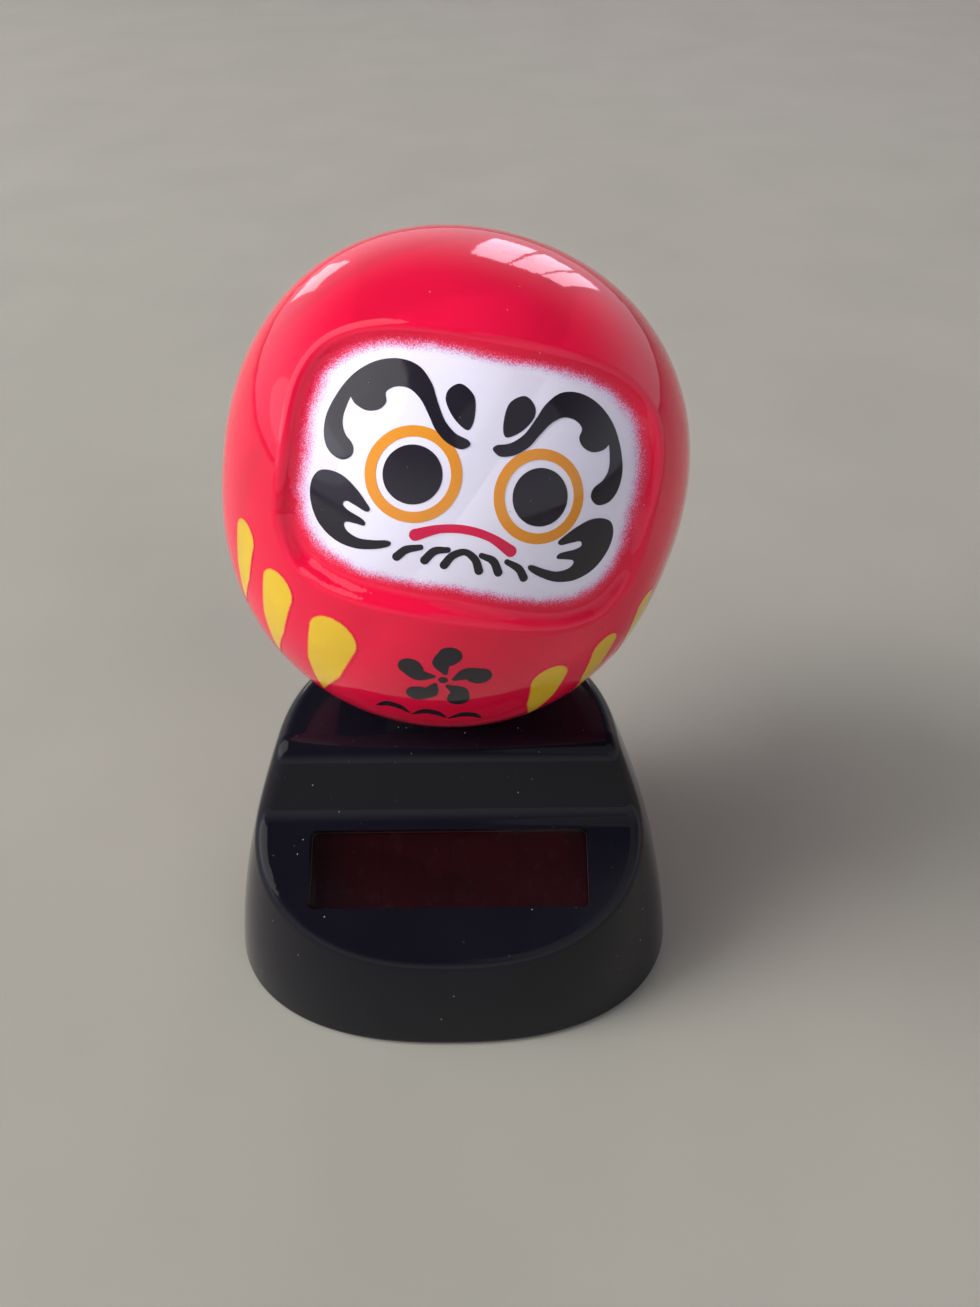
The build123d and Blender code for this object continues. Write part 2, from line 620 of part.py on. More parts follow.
def make_arm_screws():
    z = sum(CROSSBAR_Z) / 2
    face_y = PIVOT_Y - CROSSBAR_HALF_Y
    solids = []
    for x in (-CROSSBAR_SCREW_X, CROSSBAR_SCREW_X):
        size = (ARM_SCREW_LENGTH, ARM_SCREW_RADIUS, ARM_SCREW_HEAD_RADIUS, ARM_SCREW_HEAD_HEIGHT)
        upright = screw(0, 0, 0, *size)
        solids.append(Pos(x, face_y, z) * Rot(-90, 0, 0) * upright)
    return solids


def make_balance_weight():
    """Steel block pressed on to the arm between the mast's posts."""
    y_range = (PIVOT_Y - WEIGHT_HALF_Y, PIVOT_Y + WEIGHT_HALF_Y)
    weight = block(WEIGHT_HALF_X, y_range, WEIGHT_Z)
    weight = chamfer(weight.edges().filter_by(Axis.Y), WEIGHT_CHAMFER)
    hole_y = (PIVOT_Y - ARM_HALF_Y, PIVOT_Y + ARM_HALF_Y)
    return weight - block(ARM_HALF_X, hole_y, (0, PIVOT_Z))


def make_magnet_holder():
    """Cup pushed on to the lower end of the arm, open below for the magnet."""
    magnet_top = MAGNET_BOTTOM_Z + MAGNET_THICK
    holder = rod(0, PIVOT_Y, HOLDER_BOTTOM_Z, magnet_top + HOLDER_ROOF, HOLDER_RADIUS)
    holder += rod(0, PIVOT_Y, magnet_top, HOLDER_TOP_Z, HOLDER_NECK_RADIUS)
    holder -= rod(0, PIVOT_Y, 0, magnet_top, MAGNET_RADIUS)
    hole_y = (PIVOT_Y - ARM_HALF_Y, PIVOT_Y + ARM_HALF_Y)
    return holder - block(ARM_HALF_X, hole_y, (ARM_BOTTOM_Z, PIVOT_Z))


def make_magnet():
    magnet = rod(0, PIVOT_Y, MAGNET_BOTTOM_Z, MAGNET_BOTTOM_Z + MAGNET_THICK, MAGNET_RADIUS)
    return chamfer(magnet.edges().filter_by(GeomType.CIRCLE), MAGNET_CHAMFER)


def at_rest_tilt(shape):
    """Swing a piece of the doll from upright to its rest tilt about the pin."""
    return Pos(*PIVOT) * Rot(0, REST_TILT, 0) * Pos(-PIVOT[0], -PIVOT[1], -PIVOT[2]) * shape


def base_pieces():
    return {
        "base_shell": make_base_shell(),
        "cell_tape": make_cell_tape(),
        "solar_cell_glass": make_solar_glass(),
        "solar_cell_film": make_solar_film(),
        "bottom_cover": make_bottom_cover(),
        "cover_screws": make_cover_screws(),
        "pivot_mast": make_pivot_mast(),
        "mast_screws": make_mast_screws(),
        "pivot_pin": make_pivot_pin(),
        "coil_bobbin": make_coil_bobbin(),
        "coil_winding": make_coil_winding(),
        "coil_leads": coil_leads(),
        "circuit_board": make_circuit_board(),
        "board_screws": make_board_screws(),
        "chip_blob": make_chip_blob(),
        "capacitor": make_capacitor(),
        "capacitor_leads": make_capacitor_leads(),
        "cell_lead_red": cell_lead(CELL_TAB_X[0]),
        "cell_lead_black": cell_lead(CELL_TAB_X[1]),
    }


def doll_pieces():
    front, rear = make_body_shells()
    return {
        "body_front": front,
        "body_rear": add_bosses(rear),
        "pendulum_arm": make_pendulum_arm(),
        "arm_screws": make_arm_screws(),
        "balance_weight": make_balance_weight(),
        "magnet_holder": make_magnet_holder(),
        "magnet": make_magnet(),
    }


def solids_of(shape):
    """The closed solids of a piece, which may be one shape or a list of shapes."""
    shapes = shape if isinstance(shape, list) else [shape]
    return [solid for one in shapes for solid in one.solids()]


def main():
    os.makedirs("parts", exist_ok=True)
    pieces = base_pieces()
    for name, shape in doll_pieces().items():
        pieces[name] = [at_rest_tilt(solid) for solid in solids_of(shape)]
    for name, shape in pieces.items():
        export_step(Compound(solids_of(shape)), f"parts/{name}.step")


main()
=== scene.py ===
import json
import math

import bmesh
import bpy
import numpy as np
from mathutils import Matrix, Vector


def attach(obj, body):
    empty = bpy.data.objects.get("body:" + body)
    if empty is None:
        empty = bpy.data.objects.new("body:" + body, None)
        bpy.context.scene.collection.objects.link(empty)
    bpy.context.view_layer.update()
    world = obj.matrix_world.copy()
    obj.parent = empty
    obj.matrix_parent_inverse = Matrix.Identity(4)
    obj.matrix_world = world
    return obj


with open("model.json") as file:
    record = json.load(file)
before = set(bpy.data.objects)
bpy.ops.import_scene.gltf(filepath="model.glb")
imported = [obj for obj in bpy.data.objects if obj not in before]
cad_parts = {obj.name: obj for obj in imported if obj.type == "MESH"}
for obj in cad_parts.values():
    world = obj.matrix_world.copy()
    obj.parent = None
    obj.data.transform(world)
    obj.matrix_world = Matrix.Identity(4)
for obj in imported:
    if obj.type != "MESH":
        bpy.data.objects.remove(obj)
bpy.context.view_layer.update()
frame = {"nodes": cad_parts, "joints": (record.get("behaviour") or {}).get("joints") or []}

# Looks of a solar rocking daruma. Shape comes from the CAD nodes. This script adds the paint on the
# doll as thin films, gives every node its material, and sets up floor, light and camera. Sizes are in
# millimetres unless a line says otherwise.
MM = 0.001
PER_METRE = 1000

# ---- the doll's body as the CAD has it ----
PIVOT = Vector(frame["joints"][0]["pos_m"])
REST_TILT = math.radians(12.5)
CENTRE_ABOVE_PIVOT = 5.4
BALL_RADIUS = 19.35
BALL_HALF_HEIGHT = 20.4
BALL_POWER = 2.3
FACE_TILT = math.radians(33.0)
FACE_DEPTH = 1.2

# ---- the face's local axes: u across, v up the face, n outwards ----
AXIS_U = Vector((1, 0, 0))
AXIS_V = Vector((0, math.sin(FACE_TILT), math.cos(FACE_TILT)))
AXIS_N = Vector((0, -math.cos(FACE_TILT), math.sin(FACE_TILT)))
LEAN = Matrix.Rotation(REST_TILT, 3, "Y")
BALL_CENTRE = Vector((0, 0, CENTRE_ABOVE_PIVOT))

# ---- paint films: how far they stand proud of the skin and reach into it, and how fine they are ----
FILM_LIFT = 0.02
OVERPRINT_LIFT = 0.036
FILM_SINK = 0.03
LONGEST_EDGE = 0.36
CURVE_STEPS = 7
CAP_STEPS = 16
CIRCLE_STEPS = 72
REFINE_ROUNDS = 8
HALVINGS = 40
WRAP_RADIUS = 18.5
FADE_WIDTH = 0.3

# ---- features of the face, for its left side as seen from the front (u, v) ----
PRINT_SHIFT = -0.22
BROW = [
    (-0.8, 2.45), (-1.0, 2.8), (-1.9, 3.1), (-2.75, 3.85), (-3.4, 5.0), (-4.0, 6.2), (-5.0, 7.2),
    (-6.4, 7.5), (-7.9, 7.1), (-9.2, 6.1), (-10.1, 4.7), (-10.7, 3.0), (-10.65, 1.5), (-10.1, 0.5),
    (-9.2, 0.1), (-8.55, 0.5), (-8.6, 1.2), (-9.3, 2.0), (-9.55, 3.0), (-9.25, 4.45), (-9.25, 4.45),
    (-8.8, 3.95), (-8.0, 3.65), (-7.2, 3.85), (-6.8, 4.4), (-6.9, 5.1), (-6.3, 5.55), (-5.4, 5.55),
    (-4.55, 4.95), (-3.85, 4.0), (-3.25, 3.1), (-2.4, 2.4), (-1.4, 2.1),
]
CHEEK = [
    (-9.9, -0.75), (-8.9, -1.0), (-7.9, -1.7), (-7.1, -2.5), (-6.75, -2.95), (-7.0, -3.15),
    (-7.8, -2.85), (-8.45, -2.65), (-8.65, -2.95), (-8.2, -3.3), (-7.3, -3.65), (-6.95, -3.9),
    (-7.0, -4.15), (-7.6, -4.1), (-8.25, -4.1), (-8.35, -4.4), (-8.0, -4.8), (-7.2, -5.1),
    (-6.2, -5.05), (-5.3, -4.9), (-4.95, -5.0), (-5.1, -5.3), (-6.0, -5.65), (-7.4, -5.85),
    (-8.9, -5.5), (-10.2, -4.5), (-10.95, -3.1), (-11.1, -1.8), (-10.7, -0.95),
]
BROW_DROP = [
    (-2.2, 6.45), (-2.95, 6.0), (-3.1, 5.2), (-2.5, 4.2), (-1.6, 3.5), (-1.15, 3.6), (-1.0, 4.6),
    (-1.25, 5.8),
]
PUPIL = ((-4.5, -0.12), 2.02)
RING = ((-4.45, -0.1), 3.3)
RING_HOLE = ((-4.45, -0.1), 2.54)
# Each stroke is its centre line and its half width at each point of it.
MOUTH = (
    [(-3.4, -4.15), (-1.8, -3.45), (0, -3.2), (1.8, -3.45), (3.4, -4.15)],
    [0.42, 0.3, 0.3, 0.3, 0.42],
)
BEARD_OUTER = ([(-4.6, -5.9), (-4.05, -5.3), (-3.1, -4.95)], [0.31, 0.29, 0.20])
BEARD_INNER = ([(-2.65, -5.8), (-2.1, -5.05), (-1.2, -4.8)], [0.31, 0.29, 0.20])
BEARD_MIDDLE = (
    [(-1.25, -5.9), (-0.8, -5.15), (0, -4.75), (0.8, -5.15), (1.25, -5.9)],
    [0.31, 0.28, 0.23, 0.28, 0.31],
)

# ---- white panel of the face: a superellipse that dips at its middle (depth, reach) ----
PANEL_HALF = (12.2, 8.45)
PANEL_RISE = 0.55
PANEL_POWER = 3.6
PANEL_WAIST = (0.3, 7.0)
PANEL_SCALE = 9.0
# Its sprayed edge fades over this range, roughened by fine grain and a slower drift.
PANEL_EDGE = (-0.72, 0.38)
PANEL_GRAIN = 1.1
PANEL_DRIFT = 0.45
# It lies only on skin that is further forward of the doll's middle than this.
PANEL_LEAST_DEPTH = 4.0

# ---- yellow drops on the belly: centre line as (azimuth in degrees, height), and half width ----
DROPS = [
    ([(-55.5, -0.9), (-56.5, -4.5), (-59, -8.5)], 1.5),
    ([(-42, -2.8), (-44, -7), (-46.5, -11.5)], 1.75),
    ([(-25.5, -4.3), (-28, -8.5), (-31, -13)], 2.15),
    ([(28.5, -5.6), (30.5, -9), (34, -13)], 1.75),
    ([(43.5, -3.6), (44.5, -7), (46.5, -11)], 1.45),
    ([(57, -1.2), (58, -5), (60, -9)], 1.35),
]
DROP_WAIST = 0.78
DROP_TIP = 0.15

# ---- blossom and waves on the belly ----
BLOSSOM_CENTRE = (0.5, -5.3)
PETALS = 5
PETAL_RANGE = (0.85, 2.75)
PETAL_HALF_WIDTHS = (0.2, 0.72, 0.9)
PETAL_BEND = 0.4
STAMEN_RADIUS = 0.36
WAVE = ([(-1.3, -0.5), (-0.4, 0.35), (0.6, 0.3), (1.5, -0.35)], [0.12, 0.42, 0.38, 0.1])
WAVE_HEIGHT = -10.6
WAVE_PLACES = (-2.9, 0.3, 3.5)


# ======== geometry ========

def level(point, inset):
    """1 on the doll's skin moved in by inset, less inside it."""
    across = math.hypot(point.x, point.y) / (BALL_RADIUS - inset)
    up = abs(point.z) / (BALL_HALF_HEIGHT - inset)
    return across ** BALL_POWER + up ** BALL_POWER


def outward(point, inset):
    """Unit normal of that skin."""
    radius = BALL_RADIUS - inset
    height = BALL_HALF_HEIGHT - inset
    across = max(math.hypot(point.x, point.y), 1e-6)
    push = (across / radius) ** (BALL_POWER - 1) / radius
    rise = math.copysign((abs(point.z) / height) ** (BALL_POWER - 1) / height, point.z)
    return Vector((push * point.x / across, push * point.y / across, rise)).normalized()


def on_face(u, v):
    """Point and normal on the floor of the sunken face, straight behind (u, v) of the face's plane."""
    low, high = 0.0, 2 * BALL_HALF_HEIGHT
    for _ in range(HALVINGS):
        middle = (low + high) / 2
        if level(u * AXIS_U + v * AXIS_V + middle * AXIS_N, FACE_DEPTH) < 1:
            low = middle
        else:
            high = middle
    point = u * AXIS_U + v * AXIS_V + low * AXIS_N
    return point, outward(point, FACE_DEPTH)


def on_skin(along, z):
    """Point and normal on the doll's skin, along from the front and z up from its middle."""
    azimuth = along / WRAP_RADIUS
    radius = BALL_RADIUS * (1 - abs(z / BALL_HALF_HEIGHT) ** BALL_POWER) ** (1 / BALL_POWER)
    point = Vector((radius * math.sin(azimuth), -radius * math.cos(azimuth), z))
    return point, outward(point, 0)


def to_rest(point):
    """From the upright doll, in millimetres from its middle, to its rest place in metres."""
    return LEAN @ ((point + BALL_CENTRE) * MM) + PIVOT


def between(before, start, end, after, share):
    """Catmull-Rom point between start and end."""
    bend = 2 * before - 5 * start + 4 * end - after
    cubic = 3 * start - before - 3 * end + after
    return (2 * start + (end - before) * share + bend * share ** 2 + cubic * share ** 3) / 2


def closed_curve(points):
    """Smooth closed outline through the points; a point given twice is a sharp corner."""
    knots = [np.array(point, float) for point in points]
    count = len(knots)
    outline = []
    for index in range(count):
        before, start = knots[index - 1], knots[index]
        end, after = knots[(index + 1) % count], knots[(index + 2) % count]
        if np.allclose(start, end):
            continue
        for step in range(CURVE_STEPS):
            outline.append(between(before, start, end, after, step / CURVE_STEPS))
    return outline


def circle(centre, radius):
    across, up = centre
    outline = []
    for step in range(CIRCLE_STEPS):
        turn = 2 * math.pi / CIRCLE_STEPS * step
        outline.append(np.array((across + radius * math.cos(turn), up + radius * math.sin(turn))))
    return outline


def cap(centre, side, radius):
    """Half circle round an end of a stroke, from side to the opposite side."""
    start = math.atan2(side[1], side[0])
    angles = [start - math.pi * step / CAP_STEPS for step in range(1, CAP_STEPS)]
    return [centre + radius * np.array((math.cos(angle), math.sin(angle))) for angle in angles]


def stroke(points, half_widths):
    """Outline of a brush stroke along the points, with its own half width at each and round ends."""
    knots = [np.array(point, float) for point in points]
    knots = [2 * knots[0] - knots[1]] + knots + [2 * knots[-1] - knots[-2]]
    line = []
    widths = []
    for index in range(len(points) - 1):
        for step in range(CURVE_STEPS):
            share = step / CURVE_STEPS
            line.append(between(*knots[index:index + 4], share))
            widths.append(half_widths[index] * (1 - share) + half_widths[index + 1] * share)
    line.append(knots[-2])
    widths.append(half_widths[-1])
    directions = np.gradient(np.array(line), axis=0)
    directions /= np.linalg.norm(directions, axis=1)[:, None]
    sides = np.stack([-directions[:, 1], directions[:, 0]], axis=1)
    left = [spot + side * width for spot, side, width in zip(line, sides, widths)]
    right = [spot - side * width for spot, side, width in zip(line, sides, widths)]
    end_cap = cap(line[-1], sides[-1], widths[-1])
    start_cap = cap(line[0], -sides[0], widths[0])
    return left + end_cap + right[::-1] + start_cap


def mirrored(outline):
    return [np.array((-point[0], point[1])) for point in outline[::-1]]


def shifted(outline, shift):
    return [point + np.array(shift) for point in outline]


def flat_mesh(outlines):
    """Triangles that fill the outlines, the later ones as holes, fine enough for the doll's curve."""
    work = bmesh.new()
    for outline in outlines:
        verts = [work.verts.new((point[0], point[1], 0)) for point in outline]
        for index, vert in enumerate(verts):
            work.edges.new((vert, verts[(index + 1) % len(verts)]))
    bmesh.ops.triangle_fill(work, edges=work.edges[:], use_beauty=True, use_dissolve=False)
    for _ in range(REFINE_ROUNDS):
        long_edges = [edge for edge in work.edges if edge.calc_length() > LONGEST_EDGE]
        if not long_edges:
            break
        bmesh.ops.subdivide_edges(work, edges=long_edges, cuts=1)
        bmesh.ops.triangulate(work, faces=[face for face in work.faces if len(face.verts) > 3])
        inner = [edge for edge in work.edges if not edge.is_boundary]
        bmesh.ops.beautify_fill(work, faces=work.faces[:], edges=inner)
    bmesh.ops.recalc_face_normals(work, faces=work.faces[:])
    if sum(face.normal.z for face in work.faces) < 0:
        bmesh.ops.reverse_faces(work, faces=work.faces[:])
    work.verts.index_update()
    spots = np.array([vert.co[:2] for vert in work.verts])
    triangles = [[vert.index for vert in face.verts] for face in work.faces]
    rims = []
    for edge in work.edges:
        if edge.is_boundary:
            loop = edge.link_loops[0]
            rims.append((loop.vert.index, loop.link_loop_next.vert.index))
    work.free()
    return spots, triangles, rims


def inside_share(spots, outline):
    """0 on the outline and 1 at FADE_WIDTH or more inside it, for each spot."""
    start = np.array(outline)
    step = np.roll(start, -1, axis=0) - start
    length = np.maximum(np.sum(step ** 2, axis=1), 1e-12)
    nearest = []
    for spot in spots:
        share = np.clip(np.sum((spot - start) * step, axis=1) / length, 0, 1)
        gap = start + share[:, None] * step - spot
        nearest.append(np.min(np.hypot(gap[:, 0], gap[:, 1])))
    return np.clip(np.array(nearest) / FADE_WIDTH, 0, 1)


def film(name, outlines, place, material, lift=FILM_LIFT, fades=False):
    """A closed thin film of paint over the outlines, laid on the doll by place, riding on it."""
    spots, triangles, rims = flat_mesh(outlines)
    count = len(spots)
    top, bottom, normals = [], [], []
    for x, y in spots.tolist():
        point, normal = place(x, y)
        top.append(to_rest(point + normal * lift))
        bottom.append(to_rest(point - normal * FILM_SINK))
        normals.append(LEAN @ normal)
    faces = [list(face) for face in triangles]
    faces += [[index + count for index in reversed(face)] for face in triangles]
    faces += [[start, start + count, end + count, end] for start, end in rims]
    corner_normals = []
    for face in triangles:
        corner_normals += [normals[index] for index in face]
    for face in triangles:
        corner_normals += [-normals[index] for index in reversed(face)]
    for start, end in rims:
        edge = top[end] - top[start]
        outside = edge.cross(normals[start]).normalized()
        corner_normals += [outside] * 4
    mesh = bpy.data.meshes.new(name)
    mesh.from_pydata(top + bottom, [], faces)
    mesh.shade_smooth()
    mesh.normals_split_custom_set(corner_normals)
    if fades:
        share = inside_share(spots, outlines[0])
        attribute = mesh.attributes.new("inside", "FLOAT", "POINT")
        attribute.data.foreach_set("value", np.concatenate([share, share]).astype(np.float32))
    mesh.materials.append(material)
    piece = bpy.data.objects.new(name, mesh)
    bpy.context.scene.collection.objects.link(piece)
    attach(piece, "doll")


# ======== node helpers ========

# A speck's ragged outline, as shares of its size, and the share of its radius that is full.
WOBBLE_SIZE = 2.5
WOBBLE_DEPTH = 1.5
SPECK_CORE = 0.6


def new_material(name, colour, roughness, **sockets):
    """A Principled material with its plain values set on the shader itself."""
    material = bpy.data.materials.new(name)
    material.use_nodes = True
    tree = material.node_tree
    shader = tree.nodes["Principled BSDF"]
    shader.inputs["Base Color"].default_value = (*colour, 1)
    shader.inputs["Roughness"].default_value = roughness
    for socket, value in sockets.items():
        shader.inputs[socket.replace("_", " ").title().replace("Ior", "IOR")].default_value = value
    return material, tree, shader


def link(tree, value, socket):
    """A node's output goes in by a link, and a plain number or colour as it is."""
    if hasattr(value, "is_linked"):
        tree.links.new(value, socket)
    else:
        socket.default_value = value


def place_of(tree):
    return tree.nodes.new("ShaderNodeTexCoord").outputs["Object"]


def scaled_place(tree, scale):
    node = tree.nodes.new("ShaderNodeMapping")
    node.inputs["Scale"].default_value = scale
    tree.links.new(place_of(tree), node.inputs["Vector"])
    return node.outputs["Vector"]


def maths(tree, operation, first, second=0.0, third=0.0):
    node = tree.nodes.new("ShaderNodeMath")
    node.operation = operation
    for value, socket in zip((first, second, third), node.inputs):
        link(tree, value, socket)
    return node.outputs[0]


def span(tree, value, low, high, start=0.0, end=1.0, smooth=False):
    """value moved from low..high to start..end and kept within them."""
    node = tree.nodes.new("ShaderNodeMapRange")
    node.interpolation_type = "SMOOTHSTEP" if smooth else "LINEAR"
    for number, socket in zip((value, low, high, start, end), node.inputs):
        link(tree, number, socket)
    return node.outputs["Result"]


def noise(tree, size_mm, detail=2.0, vector=None):
    """Noise from 0 to 1 whose lumps are about size_mm across."""
    node = tree.nodes.new("ShaderNodeTexNoise")
    node.inputs["Scale"].default_value = PER_METRE / size_mm
    node.inputs["Detail"].default_value = detail
    tree.links.new(vector or place_of(tree), node.inputs["Vector"])
    return node.outputs["Fac"]


def mixed(tree, share, first, second):
    """Colour between first and second."""
    node = tree.nodes.new("ShaderNodeMix")
    node.data_type = "RGBA"
    link(tree, share, node.inputs["Factor"])
    for value, socket in ((first, node.inputs[6]), (second, node.inputs[7])):
        link(tree, value if hasattr(value, "is_linked") else (*value, 1), socket)
    return node.outputs[2]


def specks(tree, spacing_mm, size_mm, kept, strength):
    """strength in small scattered specks, 0 elsewhere; kept is the share of places that hold one."""
    cells = tree.nodes.new("ShaderNodeTexVoronoi")
    cells.inputs["Scale"].default_value = PER_METRE / spacing_mm
    warp = tree.nodes.new("ShaderNodeVectorMath")
    warp.operation = "MULTIPLY_ADD"
    wobble = tree.nodes.new("ShaderNodeTexNoise")
    wobble.inputs["Scale"].default_value = PER_METRE / (size_mm * WOBBLE_SIZE)
    tree.links.new(place_of(tree), wobble.inputs["Vector"])
    tree.links.new(wobble.outputs["Color"], warp.inputs[0])
    warp.inputs[1].default_value = (size_mm * MM * WOBBLE_DEPTH,) * 3
    tree.links.new(place_of(tree), warp.inputs[2])
    tree.links.new(warp.outputs[0], cells.inputs["Vector"])
    reach = size_mm / spacing_mm / 2
    close = span(tree, cells.outputs["Distance"], reach * SPECK_CORE, reach, strength, 0.0)
    parts = tree.nodes.new("ShaderNodeSeparateColor")
    tree.links.new(cells.outputs["Color"], parts.inputs["Color"])
    chosen = maths(tree, "LESS_THAN", parts.outputs[0], kept)
    return maths(tree, "MULTIPLY", close, chosen)


def bumped(tree, shader, height, depth_mm):
    """Bump of about depth_mm from a height of 0 to 1."""
    node = tree.nodes.new("ShaderNodeBump")
    node.inputs["Strength"].default_value = 1.0
    node.inputs["Distance"].default_value = depth_mm * MM
    tree.links.new(height, node.inputs["Height"])
    tree.links.new(node.outputs["Normal"], shader.inputs["Normal"])


def along_axis(tree, axis):
    """Distance in millimetres from the doll's middle, along an axis of the upright doll."""
    direction = LEAN @ axis
    start = -PIVOT.dot(direction) / MM - BALL_CENTRE.dot(axis)
    node = tree.nodes.new("ShaderNodeVectorMath")
    node.operation = "DOT_PRODUCT"
    tree.links.new(place_of(tree), node.inputs[0])
    node.inputs[1].default_value = direction / MM
    return maths(tree, "ADD", node.outputs["Value"], start)


# ======== materials ========

RED = (0.81, 0.0065, 0.052)
DEEP_RED = (0.71, 0.0045, 0.040)
PINK = (0.80, 0.17, 0.33)
LILAC = (0.76, 0.55, 0.80)
FACE_WHITE = (0.86, 0.83, 0.96)
FACE_SHADE = (0.80, 0.77, 0.92)
YELLOW = (0.80, 0.55, 0.035)
GOLD = (0.72, 0.42, 0.02)
DUST = (0.62, 0.56, 0.52)
DARK_DUST = (0.05, 0.01, 0.01)
GLOSS_BUMP = 0.004
CELL_STRIP = 6.6
WIRE_PITCH = 0.3
TRACK_PITCH = 6
# Radians that the wave texture runs through for one unit of scale times length.
WAVE_TEXTURE_RATE = 20


def panel_share(tree):
    """1 on the white panel of the face, 0 off it, with a grainy airbrushed edge between."""
    u = along_axis(tree, AXIS_U)
    v = along_axis(tree, AXIS_V)
    depth = along_axis(tree, AXIS_N)
    waist_depth, waist_reach = PANEL_WAIST
    from_middle = maths(tree, "DIVIDE", maths(tree, "ABSOLUTE", u), waist_reach)
    waist = maths(tree, "MAXIMUM", maths(tree, "SUBTRACT", 1.0, from_middle), 0.0)
    across = maths(tree, "DIVIDE", maths(tree, "ABSOLUTE", u), PANEL_HALF[0])
    up = maths(tree, "ABSOLUTE", maths(tree, "SUBTRACT", v, PANEL_RISE))
    up = maths(tree, "MULTIPLY_ADD", waist, waist_depth, up)
    up = maths(tree, "DIVIDE", up, PANEL_HALF[1])
    across = maths(tree, "POWER", across, PANEL_POWER)
    total = maths(tree, "ADD", across, maths(tree, "POWER", up, PANEL_POWER))
    reach = maths(tree, "POWER", total, 1 / PANEL_POWER)
    edge = maths(tree, "MULTIPLY", maths(tree, "SUBTRACT", reach, 1.0), PANEL_SCALE)
    grain = maths(tree, "SUBTRACT", noise(tree, 0.10, 1.0), 0.5)
    drift = maths(tree, "SUBTRACT", noise(tree, 1.6, 2.0), 0.5)
    edge = maths(tree, "MULTIPLY_ADD", grain, PANEL_GRAIN, edge)
    edge = maths(tree, "MULTIPLY_ADD", drift, PANEL_DRIFT, edge)
    share = span(tree, edge, *PANEL_EDGE, 1.0, 0.0, smooth=True)
    return maths(tree, "MULTIPLY", share, maths(tree, "GREATER_THAN", depth, PANEL_LEAST_DEPTH))


def lacquer(tree):
    """The doll's red: even, with slow drifts of depth, a few pale dust grains and fewer dark ones."""
    colour = mixed(tree, span(tree, noise(tree, 9.0, 3.0), 0.35, 0.75), RED, DEEP_RED)
    colour = mixed(tree, specks(tree, 1.3, 0.11, 0.35, 0.55), colour, DUST)
    return mixed(tree, specks(tree, 1.9, 0.12, 0.25, 0.6), colour, DARK_DUST)


def sprayed(name, colour, make_colour):
    """Sprayed lacquer: high gloss, slightly wavy, with fine polishing lines in it."""
    material, tree, shader = new_material(name, colour, 0.05)
    tree.links.new(make_colour(tree), shader.inputs["Base Color"])
    rough = span(tree, noise(tree, 5.0, 4.0), 0.3, 0.8, 0.035, 0.075)
    tree.links.new(rough, shader.inputs["Roughness"])
    peel = noise(tree, 1.7, 1.5)
    lines = noise(tree, 0.5, 2.0, scaled_place(tree, (0.12, 1.0, 1.0)))
    bumped(tree, shader, maths(tree, "MULTIPLY_ADD", lines, 0.16, peel), GLOSS_BUMP)
    return material


def lacquer_with_face(tree):
    """The same lacquer, with the white panel sprayed into the sunken face."""
    share = panel_share(tree)
    white = mixed(tree, noise(tree, 6.0, 3.0), FACE_WHITE, FACE_SHADE)
    white = mixed(tree, specks(tree, 1.1, 0.11, 0.32, 0.65), white, (0.16, 0.09, 0.12))
    colour = mixed(tree, span(tree, share, 0.0, 0.45), lacquer(tree), PINK)
    colour = mixed(tree, span(tree, share, 0.3, 0.8), colour, LILAC)
    return mixed(tree, span(tree, share, 0.65, 1.0), colour, white)


def lacquer_with_yellow(tree):
    """Yellow sprayed through a mask: full inside, breaking into the red ground at its edge."""
    inside = tree.nodes.new("ShaderNodeAttribute")
    inside.attribute_name = "inside"
    grain = maths(tree, "SUBTRACT", noise(tree, 0.11, 1.0), 0.5)
    share = maths(tree, "MULTIPLY_ADD", grain, 0.55, inside.outputs["Fac"])
    share = span(tree, share, 0.28, 0.85, smooth=True)
    return mixed(tree, share, lacquer(tree), mixed(tree, noise(tree, 3.0, 3.0), YELLOW, GOLD))


def print_ink(name, colour, other, dot_colour):
    """Glossy printed ink: slow drift between two near tones, and tiny pinholes."""
    material, tree, shader = new_material(name, colour, 0.08)
    drift = mixed(tree, noise(tree, 2.5, 4.0), colour, other)
    pinholes = specks(tree, 0.7, 0.07, 0.3, 0.7)
    tree.links.new(mixed(tree, pinholes, drift, dot_colour), shader.inputs["Base Color"])
    tree.links.new(span(tree, noise(tree, 1.2, 4.0), 0.3, 0.8, 0.06, 0.16), shader.inputs["Roughness"])
    bumped(tree, shader, noise(tree, 1.3, 2.0), 0.002)
    return material


def shell_black():
    """Polished black ABS with faint smears and grains of dust."""
    black, worn = (0.0026, 0.0025, 0.0048), (0.0050, 0.0047, 0.0080)
    material, tree, shader = new_material("shell_black", black, 0.10, specular_ior_level=0.3)
    colour = mixed(tree, noise(tree, 7.0, 4.0), black, worn)
    dust = specks(tree, 1.3, 0.13, 0.50, 0.8)
    fine_dust = specks(tree, 0.7, 0.07, 0.35, 0.5)
    colour = mixed(tree, dust, colour, DUST)
    tree.links.new(mixed(tree, fine_dust, colour, DUST), shader.inputs["Base Color"])
    smears = noise(tree, 6.0, 5.0, scaled_place(tree, (1.0, 1.0, 0.35)))
    rough = span(tree, smears, 0.35, 0.75, 0.06, 0.15)
    tree.links.new(maths(tree, "MULTIPLY_ADD", dust, 0.5, rough), shader.inputs["Roughness"])
    bumped(tree, shader, noise(tree, 2.6, 2.0), 0.006)
    return material


